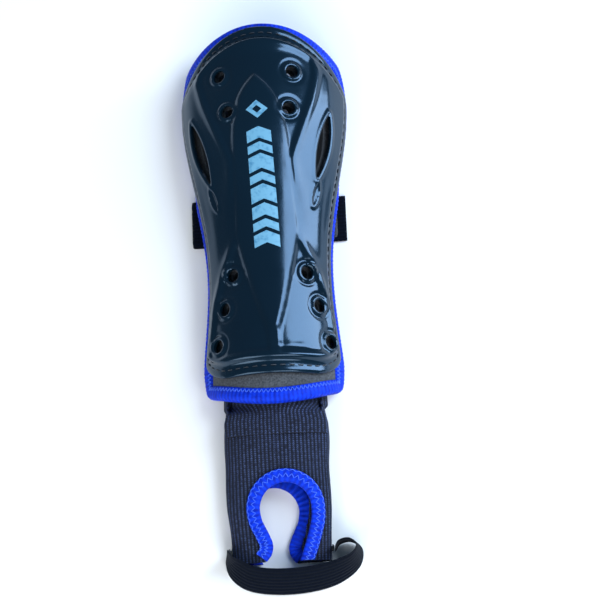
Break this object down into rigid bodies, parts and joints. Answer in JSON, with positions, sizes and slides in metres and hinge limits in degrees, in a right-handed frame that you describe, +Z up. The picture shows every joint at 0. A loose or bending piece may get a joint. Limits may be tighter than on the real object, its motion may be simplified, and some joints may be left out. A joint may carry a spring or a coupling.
{
  "type": "ankle shin guard",
  "caption": "Ball sports shin guard: a moulded front shell on a bound foam pad, a calf strap, and a knitted ankle sleeve with bound openings and a stirrup strap",
  "frame": {"origin": "middle of the whole object's footprint, on the surface it lies on", "axes": "+X across the guard, +Y from the ankle towards the knee, +Z up through the front of the shell, with the guard lying leg side down"},
  "size_m": [0.1056, 0.355, 0.0487],
  "materials": {
    "shell": "gloss moulded navy-black plastic",
    "facing": "grey brushed knit cloth",
    "foam": "black closed-cell foam",
    "lining": "charcoal brushed knit",
    "binding": "royal blue stretch binding tape",
    "thread": "twisted polyester thread",
    "fastener": "hook-and-loop tape",
    "elastic": "ribbed woven elastic",
    "knit": "ribbed stretch knit with light flecks"
  },
  "bodies": {
    "guard": {"shell": "shell", "outer_facing": "facing", "foam_pad": "foam", "lining": "lining", "edge_binding": "binding", "shell_stitching": "thread", "loop_patch": "fastener", "strap_anchor": "elastic", "anchor_stitching": "thread", "sleeve_flap": "knit"},
    "calf_strap": {"calf_strap": "elastic", "hook_patch": "fastener"},
    "ankle_sleeve": {"ankle_sleeve": "knit", "front_binding": "binding", "rear_binding": "binding", "rear_hem": "knit", "ankle_pad_left": "foam", "ankle_pad_right": "foam", "bar_tack_left": "thread", "bar_tack_right": "thread"},
    "stirrup": {"stirrup_strap": "elastic"}
  },
  "joints": [
    {"name": "strap_swing", "type": "hinge", "parent": "guard", "child": "calf_strap", "pos_m": [-0.046, 0.058, 0.00225], "axis": [0, 1, 0], "range_deg": [0, 110]},
    {"name": "sleeve_fold", "type": "hinge", "parent": "guard", "child": "ankle_sleeve", "pos_m": [0, -0.07, 0.023], "axis": [-1, 0, 0], "range_deg": [0, 75]},
    {"name": "stirrup_swing", "type": "hinge", "parent": "ankle_sleeve", "child": "stirrup", "pos_m": [0, -0.155, 0.007], "axis": [-1, 0, 0], "range_deg": [0, 50]}
  ]
}
